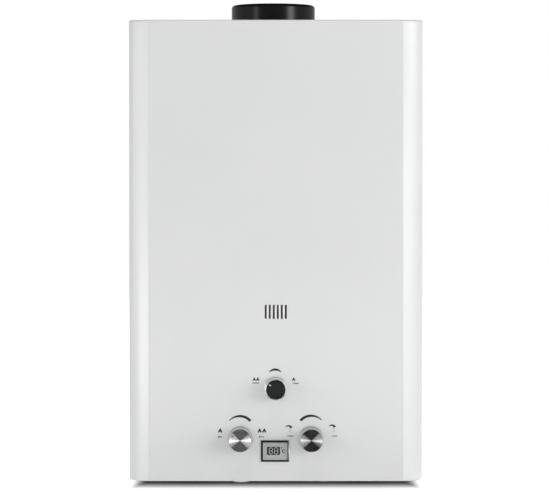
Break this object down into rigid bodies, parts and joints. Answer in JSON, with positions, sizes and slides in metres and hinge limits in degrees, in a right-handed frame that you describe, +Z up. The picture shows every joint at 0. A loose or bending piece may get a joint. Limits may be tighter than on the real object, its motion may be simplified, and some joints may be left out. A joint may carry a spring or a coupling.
{
  "type": "tankless gas water heater",
  "caption": "Wall-hung tankless gas water heater: white sheet casing, black flue collar on top, turning front knobs, small display, flame slots and pipe connections below.",
  "frame": {"origin": "on the wall plane, midway between the two hanger holes of the back plate", "axes": "+X to the right as seen from the front, -Y out of the wall towards the user, +Z up"},
  "size_m": [0.349, 0.1896, 0.582],
  "materials": {
    "enamel": "satin white stove enamel",
    "galvanised": "zinc-coated sheet",
    "black_enamel": "satin black stove enamel",
    "stainless": "plain stainless sheet",
    "copper": "bare copper, slightly dull",
    "brass": "machined brass",
    "cast_alloy": "die-cast, matt",
    "steel": "plain bright steel",
    "bright_metal": "turned and plated",
    "black_plastic": "moulded, semi-gloss",
    "grey_plastic": "moulded, fine grain",
    "white_plastic": "moulded, fine grain",
    "blue_plastic": "moulded coil cover",
    "ceramic": "glazed porcelain",
    "rubber": "moulded rubber",
    "clear": "clear, thin",
    "display": "grey reflective display",
    "board": "green circuit board"
  },
  "bodies": {
    "casing": {"front_cover": "enamel", "back_plate": "galvanised", "bottom_plate": "galvanised", "cover_screws": "steel", "flue_collar": "black_enamel", "draft_hood": "stainless", "heat_chamber": "copper", "fins": "copper", "finned_tube": "copper", "jacket_coil": "copper", "chamber_brackets": "galvanised", "pipe_unions": "brass", "draft_sensor": "grey_plastic", "window_pane": "clear", "window_frame": "stainless", "burner_frame": "stainless", "burner_bars": "stainless", "manifold": "steel", "nozzles": "brass", "electrode_ceramics": "ceramic", "electrode_wires": "steel", "gas_inlet": "brass", "gas_valve": "cast_alloy", "gas_solenoid": "blue_plastic", "gas_riser": "steel", "season_valve": "cast_alloy", "cold_inlet": "brass", "water_valve": "brass", "diaphragm": "rubber", "water_cover": "brass", "drain_plug": "brass", "cold_pipe": "copper", "hot_pipe": "copper", "hot_outlet": "brass", "thermostat": "grey_plastic", "lock_nuts": "brass", "switch_bracket": "galvanised", "micro_switch": "grey_plastic", "igniter": "grey_plastic", "display_bezel": "grey_plastic", "display_lens": "clear", "display_module": "display", "display_board": "board", "battery_box": "white_plastic", "battery_contacts": "steel", "door_pin": "steel"},
    "season_control": {"season_knob": "black_plastic", "season_ring": "bright_metal", "season_spindle": "steel"},
    "gas_control": {"gas_knob": "bright_metal", "gas_spindle": "steel"},
    "water_control": {"water_knob": "bright_metal", "water_spindle": "steel"},
    "push_rod": {"push_rod": "steel", "gas_poppet": "rubber"},
    "plunger": {"solenoid_plunger": "steel"},
    "switch_lever": {"switch_lever": "steel"},
    "battery_door": {"battery_door": "white_plastic"}
  },
  "joints": [
    {"name": "season_turn", "type": "hinge", "parent": "casing", "child": "season_control", "pos_m": [0, -0.165, -0.396], "axis": [0, 1, 0], "range_deg": [0, 104]},
    {"name": "gas_turn", "type": "hinge", "parent": "casing", "child": "gas_control", "pos_m": [-0.0415, -0.165, -0.455], "axis": [0, 1, 0], "range_deg": [0, 122]},
    {"name": "water_turn", "type": "hinge", "parent": "casing", "child": "water_control", "pos_m": [0.0415, -0.165, -0.455], "axis": [0, 1, 0], "range_deg": [-81, 41]},
    {"name": "rod_slide", "type": "slide", "parent": "casing", "child": "push_rod", "axis": [-1, 0, 0], "range_m": [0, 0.0045], "stiffness_N_per_m": 300, "springref_m": -0.001},
    {"name": "plunger_slide", "type": "slide", "parent": "casing", "child": "plunger", "axis": [-1, 0, 0], "range_m": [0, 0.003], "stiffness_N_per_m": 300, "springref_m": -0.001},
    {"name": "lever_swing", "type": "hinge", "parent": "casing", "child": "switch_lever", "pos_m": [-0.0131, -0.088, -0.439], "axis": [0, 1, 0], "range_deg": [0, 23.5]},
    {"name": "door_hinge", "type": "hinge", "parent": "casing", "child": "battery_door", "pos_m": [0.1185, -0.101, -0.4944], "axis": [1, 0, 0], "range_deg": [0, 95]}
  ],
  "couplings": [
    {"joint": "lever_swing", "follows": "rod_slide", "rad_per_m": 91.145}
  ]
}
